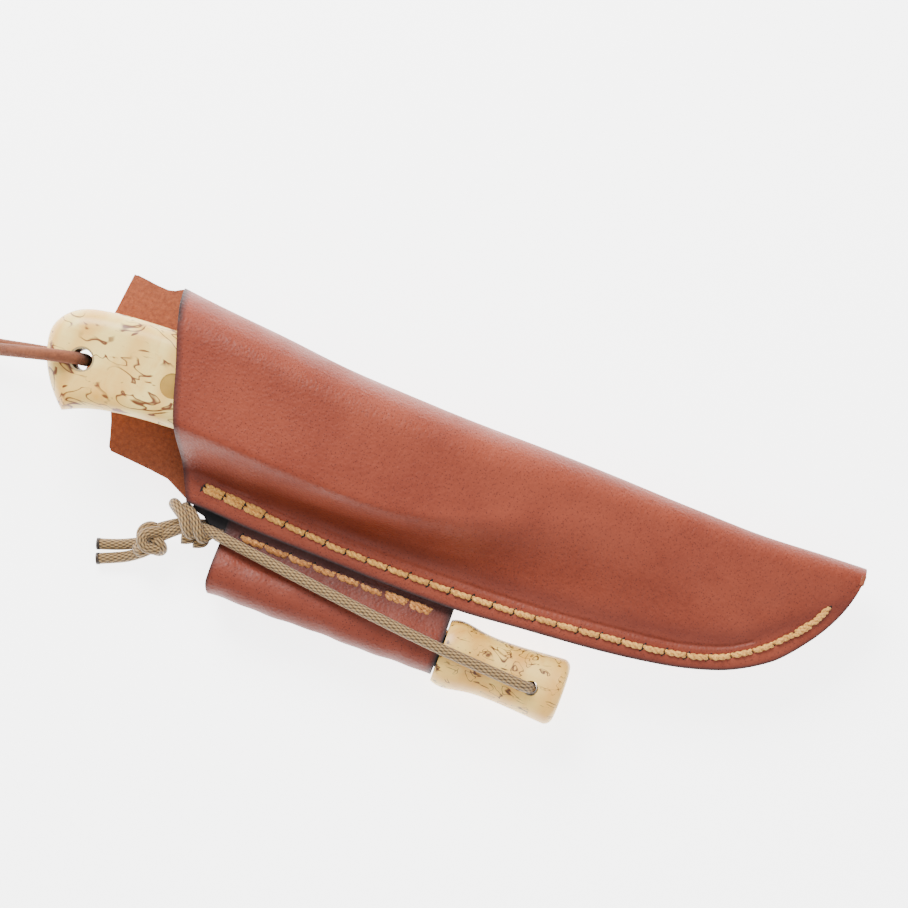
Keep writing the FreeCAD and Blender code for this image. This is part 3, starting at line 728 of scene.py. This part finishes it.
def make_sheath_back(grain, flesh, edge):
    """The back panel with its extension, and the strap folded under from it."""
    outline = list(BACK_OUTLINE)
    outline += [(9.7 + 2.0 * i, SEAM_EDGE(9.7 + 2.0 * i)) for i in range(88)]
    outline += [(x, SEAM_EDGE(x)) for x in (187.0, 189.0, 191.0, 192.5, 193.6, 194.6, 195.4, 195.9)]
    outline += [(195.9, 12.0), (170.0, 9.5), (150, 9.8), (120, 10.6), (90, 11.0), (50, 12.5), (20, 15.5)]
    back = slab("sheath_back_panel", outline, BACK_LOW + 0.02, BACK_HIGH - 0.02, [flesh, grain, edge])
    middle = BACK_HIGH / 2
    line = []
    for k in range(25):
        turn = math.radians(90 + 180 * k / 24)
        line.append((math.cos(turn), math.sin(turn), 0.0, middle))
    inner, outer = middle - LEATHER, middle
    profile = [((c * outer, z0 + s * outer), (c * inner, z0 + s * inner)) for c, s, _, z0 in line]
    for k in range(1, 29):
        x = STRAP_FLAT * k / 28
        profile.append(((x, 0.0), (x, LEATHER)))
    for k in range(1, 9):
        part = k / 8
        rise = (BACK_LOW - LEATHER) * part * part * (3 - 2 * part)
        x = STRAP_FLAT + STRAP_RAMP * part
        profile.append(((x, rise), (x, min(rise + LEATHER, BACK_LOW - 0.03))))
    for k in range(1, 7):
        x = STRAP_FLAT + STRAP_RAMP + STRAP_PAD * k / 6
        profile.append(((x, BACK_LOW - LEATHER), (x, BACK_LOW - 0.03)))
    across = 28
    vertices, faces, kinds = [], [], []
    for side in (0, 1):
        for pair in profile:
            for k in range(across + 1):
                y = STRAP_WIDE * (k / across - 0.5)
                x, z = pair[side]
                round_end = max(0.0, x - (STRAP_FLAT + STRAP_RAMP + STRAP_PAD - 7)) / 7
                y *= 1 - 0.12 * round_end ** 2
                vertices.append(tuple(STRAP_TURN @ Vector((x, y, z))))
    rows = len(profile)
    count = rows * (across + 1)
    for i in range(rows - 1):
        for k in range(across):
            a = i * (across + 1) + k
            b = a + across + 1
            faces += [(a, a + 1, b + 1, b), (count + a, count + b, count + b + 1, count + a + 1)]
            kinds += [0, 1]
        for k in (0, across):
            a = i * (across + 1) + k
            b = a + across + 1
            faces.append((a, b, count + b, count + a) if k == 0 else (b, a, count + a, count + b))
            kinds.append(2)
    for i in (0, rows - 1):
        for k in range(across):
            a = i * (across + 1) + k
            faces.append((a, count + a, count + a + 1, a + 1) if i == 0 else (a, a + 1, count + a + 1,
                                                                              count + a))
            kinds.append(2)
    strap = piece("belt_strap_leather", vertices, faces, [grain, flesh, edge], "sheath",
                  kinds)
    sharpen(strap)
    return back, strap


# ---- firesteel loop -------------------------------------------------------------------------

LOOP_START, LOOP_END, LOOP_SIDE, LOOP_LEVEL = 22.0, 90.0, -44.0, 11.4
LOOP_OUTER, LOOP_BORE = 7.5, 5.4
LOOP_TURN = Matrix.Translation((LOOP_START, LOOP_SIDE, LOOP_LEVEL)) @ Matrix.Rotation(math.radians(-1.1),
                                                                                      4, "Z")


def loop_outline():
    """Outer and inner points (y, z) of the loop: back layer, round the rod, front layer."""
    low, high = BACK_HIGH - LOOP_LEVEL, SEAM_HIGH - LOOP_LEVEL
    outer, inner = [], []
    split = (low + high) / 2
    for k in range(8):
        y = 19.6 - k * 1.25
        outer.append((y, low))
        inner.append((y, split - 0.04))
    for k in range(41):
        turn = math.radians(-58 - 244 * k / 40)
        c, s = math.cos(turn), math.sin(turn)
        outer.append((c * LOOP_OUTER, s * LOOP_OUTER))
        inner.append((c * LOOP_BORE, s * LOOP_BORE))
    for k in range(8):
        y = 10.85 + k * 1.25
        outer.append((y, high))
        inner.append((y, split + 0.04))
    return outer, inner


def make_loop(grain, flesh, edge):
    rows = 68
    outer, inner = loop_outline()
    columns = len(outer)
    length = LOOP_END - LOOP_START
    vertices, painted_shades, inks = [], [], []
    for skin, points in ((0, outer), (1, inner)):
        for i in range(rows + 1):
            along = length * i / rows
            for j, (y, z) in enumerate(points):
                reach = max(0.0, -y - 3.0) / 4.5
                x = along
                corner = 2.6 * reach ** 2.2
                x = max(x, corner * 0.55) if i < 3 else x
                lift = 0.0
                if skin == 0 and -8 < y < 7:
                    lift = 0.14 * math.sin(along * 0.23 + y * 0.4) + 0.10 * math.sin(along * 0.61 - y * 0.2)
                span = math.hypot(y, z) or 1.0
                if skin == 0 and abs(y) < 8:
                    y, z = y * (1 + lift / span), z * (1 + lift / span)
                vertices.append(tuple(LOOP_TURN @ Vector((x, y, z))))
                inks.append(max(math.exp(-((along - length) / 0.9) ** 2),
                                0.8 * math.exp(-(along / 0.4) ** 2)))
                # Painted shade: darker in the crease where the tube meets the flange, towards both ends,
                # and on the flap where it lies in shadow under the front panel's edge
                crease_shade = 0.8 * math.exp(-((y - 9.5) / 1.8) ** 2)
                far_end = 0.55 * math.exp(-((along - length) / 1.5) ** 2)
                near_end = 0.35 * math.exp(-(along / 1.5) ** 2)
                flap_shadow = 0.9 * max(0.0, min(1.0, (y - 9.5) / 3.0))
                painted_shades.append(min(1.0, crease_shade + far_end + near_end + flap_shadow))
    count = (rows + 1) * columns
    faces, kinds = [], []
    for i in range(rows):
        for j in range(columns - 1):
            a = i * columns + j
            b = a + columns
            faces += [(a, b, b + 1, a + 1), (count + a, count + a + 1, count + b + 1, count + b)]
            kinds += [0, 1]
    rim = [i * columns for i in range(rows + 1)] + [rows * columns + j for j in range(1, columns)]
    rim += [i * columns + columns - 1 for i in range(rows - 1, -1, -1)] + [j for j in range(columns - 2, 0,
                                                                                            -1)]
    for a, b in zip(rim, rim[1:] + rim[:1]):
        faces.append((a, count + a, count + b, b))
        kinds.append(2)
    made = piece("firesteel_loop_leather", vertices, faces, [grain, flesh, edge], "sheath",
                 kinds)
    for name, values in (("shade", painted_shades), ("ink", inks)):
        made.data.attributes.new(name, "FLOAT", "POINT").data.foreach_set("value",
                                                                          np.array(values, np.float32))
    made.data.flip_normals()
    sharpen(made)
    return made


# ---- stitches -------------------------------------------------------------------------------

def even_points(line, pitch):
    """Points at an even pitch along a smooth line through line's points."""
    data = [Vector((x, y, 0)) for x, y in line]
    steps = [data[0]]
    for k in range(len(data) - 1):
        p0 = data[max(k - 1, 0)]
        p1, p2 = data[k], data[k + 1]
        p3 = data[min(k + 2, len(data) - 1)]
        for step in range(1, 25):
            s = step / 24
            steps.append(0.5 * (2 * p1 + (p2 - p0) * s + (2 * p0 - 5 * p1 + 4 * p2 - p3) * s * s
                                + (3 * p1 - p0 - 3 * p2 + p3) * s ** 3))
    run = [0.0]
    for a, b in zip(steps, steps[1:]):
        run.append(run[-1] + (b - a).length)
    count = int(round(run[-1] / pitch))
    places = []
    for k in range(count + 1):
        want = run[-1] * k / count
        places.append(Vector((float(np.interp(want, run, [p.x for p in steps])),
                              float(np.interp(want, run, [p.y for p in steps])), 0)))
    return places


def stitch_runs(a, b, level, lift, radius, twist=1.6, slack=0.0):
    """Two twisted plies of waxed thread from one hole, along the leather, into the next."""
    runs = []
    along = (b - a)
    side = Vector((-along.y, along.x, 0)).normalized()
    for ply in (0.0, math.pi):
        line = []
        for k in range(17):
            s = k / 16
            hump = 1 - (2 * s - 1) ** 6
            turn = ply + twist * 2 * math.pi * s
            aside = math.cos(turn) * radius * 0.48 + slack * math.sin(math.pi * s)
            place = a + along * (s * 0.96 + 0.02) + side * aside
            height = level + lift * (hump * radius * 1.75 - 1.05) + math.sin(turn) * radius * 0.48
            line.append(Vector((place.x, place.y, height)) * MM)
        runs.append((line, radius * 0.70 * MM, 8, 1.0))
    return runs


def make_loop_tab_painted_shadow(edge):
    """The end of the loop's two layers past the loop towards the mouth, as one slab all in black edge
    paint: painted shadow for the deep shade there.
    """
    outline = [(11.5, -27.0), (24.0, -27.8), (23.6, -33.4), (16.8, -33.0), (15.4, -31.4), (11.5, -30.4)]
    slab("firesteel_loop_tab_painted_shadow", outline, BACK_HIGH + 0.1, SEAM_HIGH - 0.4, [edge, edge, edge])


def make_threads(thread, orange, dark):
    rng = np.random.default_rng(7)
    holes = even_points(STITCHES, 6.2)
    front_runs, back_runs = [], []
    last = len(holes) - 2
    for i, (a, b) in enumerate(zip(holes, holes[1:])):
        double = i < 3 or i > last - 2
        slack = rng.uniform(-0.15, 0.15)
        if double:
            offset = Vector((0.15, 0.62, 0))
            front_runs += stitch_runs(a + offset, b + offset, FRONT_HIGH, 1, 0.72, slack=slack)
            front_runs += stitch_runs(a - offset, b - offset, FRONT_HIGH, 1, 0.72, twist=2.2)
        else:
            front_runs += stitch_runs(a, b, FRONT_HIGH, 1, 0.78, slack=slack)
        back_runs += stitch_runs(a, b, BACK_LOW, -1, 0.75)
    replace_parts(tubes("main_seam_stitches", front_runs + back_runs, [thread], "sheath"),
                "main_seam_thread")
    loop_holes = [Vector((27 + 7.22 * i, -33.6 - 0.36 * i, 0)) for i in range(9)]
    runs = []
    for i, (a, b) in enumerate(zip(loop_holes, loop_holes[1:])):
        slack = rng.uniform(-0.25, 0.25)
        runs += stitch_runs(a, b, SEAM_HIGH + 0.1, 1, 0.9, slack=slack)
        if i > 5:
            offset = Vector((0.1, 0.7, 0))
            runs += stitch_runs(a + offset, b + offset, SEAM_HIGH + 0.3, 1, 0.8, slack=-slack)
        runs += stitch_runs(a, b, BACK_HIGH - 0.1, -1, 0.75)
    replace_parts(tubes("loop_seam_stitches", runs, [orange], "sheath"), "loop_seam_thread")
    pad = STRAP_FLAT + STRAP_RAMP + 3.0
    runs = []
    for away in (0.0, 7.0):
        row = [STRAP_TURN @ Vector((pad + away, -14 + 5.6 * i, 0)) for i in range(6)]
        for a, b in zip(row, row[1:]):
            runs += stitch_runs(a, b, BACK_LOW - LEATHER, -1, 0.72)
    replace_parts(tubes("belt_strap_stitches", runs, [thread], "sheath"), "belt_loop_thread")
    # Awl slits beside each hole of both seams, drawn as small black marks: the cuts are real, their black
    # is painted shade inside them
    slits = []
    marks = [(h, FRONT_HIGH - 0.10) for h in holes] + [(h, SEAM_HIGH + 0.05) for h in loop_holes]
    for place, level in marks:
        for side in (-1, 1):
            a = place + Vector((0.55 * side, 1.45 * side, 0))
            b = place + Vector((0.10 * side, 0.10 * side, 0))
            slits.append(([Vector((q.x, q.y, level)) * MM for q in (a, a * 0.5 + b * 0.5, b)],
                          lambda s: (0.16 + 0.44 * s) * MM, 8, 0.6))
    tubes("awl_slits_painted_shade", slits, [dark], "sheath")


# ---- the whole object -----------------------------------------------------------------------

def dress(node, material):
    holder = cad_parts[node]
    holder.data.materials.clear()
    holder.data.materials.append(material)


def make_object():
    make_stage()
    suede, elastic, singed = suede_thong(), braided_elastic(), singed_black()
    make_cords(suede, elastic)
    make_knots(elastic, singed)
    grain = leather_grain("leather_grain", (0.195, 0.031, 0.013), (0.275, 0.052, 0.023),
                          (0.075, 0.010, 0.006))
    loop_grain = leather_grain("loop_grain", (0.150, 0.025, 0.013), (0.22, 0.042, 0.021),
                               (0.045, 0.008, 0.006))
    flesh, edge = leather_flesh(), leather_edge()
    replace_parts(make_sheath_front(grain, flesh, edge), "sheath_leather")
    make_sheath_back(grain, flesh, edge)
    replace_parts(make_loop(loop_grain, flesh, edge), "firesteel_loop")
    # the black tab is painted shadow beside the sheath knot
    make_loop_tab_painted_shadow(edge)
    dress("welt", edge)
    thread = thread_wax("thread", (0.95, 0.52, 0.11), (0.50, 0.21, 0.03))
    orange = thread_wax("thread_orange", (0.76, 0.33, 0.07), (0.28, 0.09, 0.015))
    make_threads(thread, orange, edge)
    birch = curly_birch("birch", (1.0, 0.74, 0.22), (0.82, 0.40, 0.05), (0.20, 0.060, 0.010),
                        (0.16, 0.045, 0.008), 105, (0, 0, 0.2))
    warm = curly_birch("firesteel_birch", (1.0, 0.66, 0.17), (0.76, 0.34, 0.045), (0.10, 0.03, 0.007),
                       (0.11, 0.033, 0.008), 190, (0, 0, 0))
    steel = metal("blade_steel", (0.42, 0.42, 0.43), (0.30, 0.30, 0.31), 0.36, (0.1, 3, 3))
    brass = metal("brass", (0.62, 0.38, 0.09), (0.40, 0.22, 0.05), 0.45, (1, 1, 1))
    pale = metal("lanyard_metal", (0.62, 0.48, 0.26), (0.40, 0.28, 0.14), 0.35, (1, 1, 1))
    for node, material in (("blade", steel), ("front_scale", birch), ("back_scale", birch),
                           ("lanyard_tube", pale),
                           ("front_pin", brass), ("rear_pin", brass), ("ferro_rod", ferro_rod_black()),
                           ("firesteel_handle", warm)):
        dress(node, material)
        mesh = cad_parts[node].data
        mesh.polygons.foreach_set("use_smooth", [True] * len(mesh.polygons))
        mesh.set_sharp_from_angle(angle=math.radians(SHARP_ANGLE))


make_object()
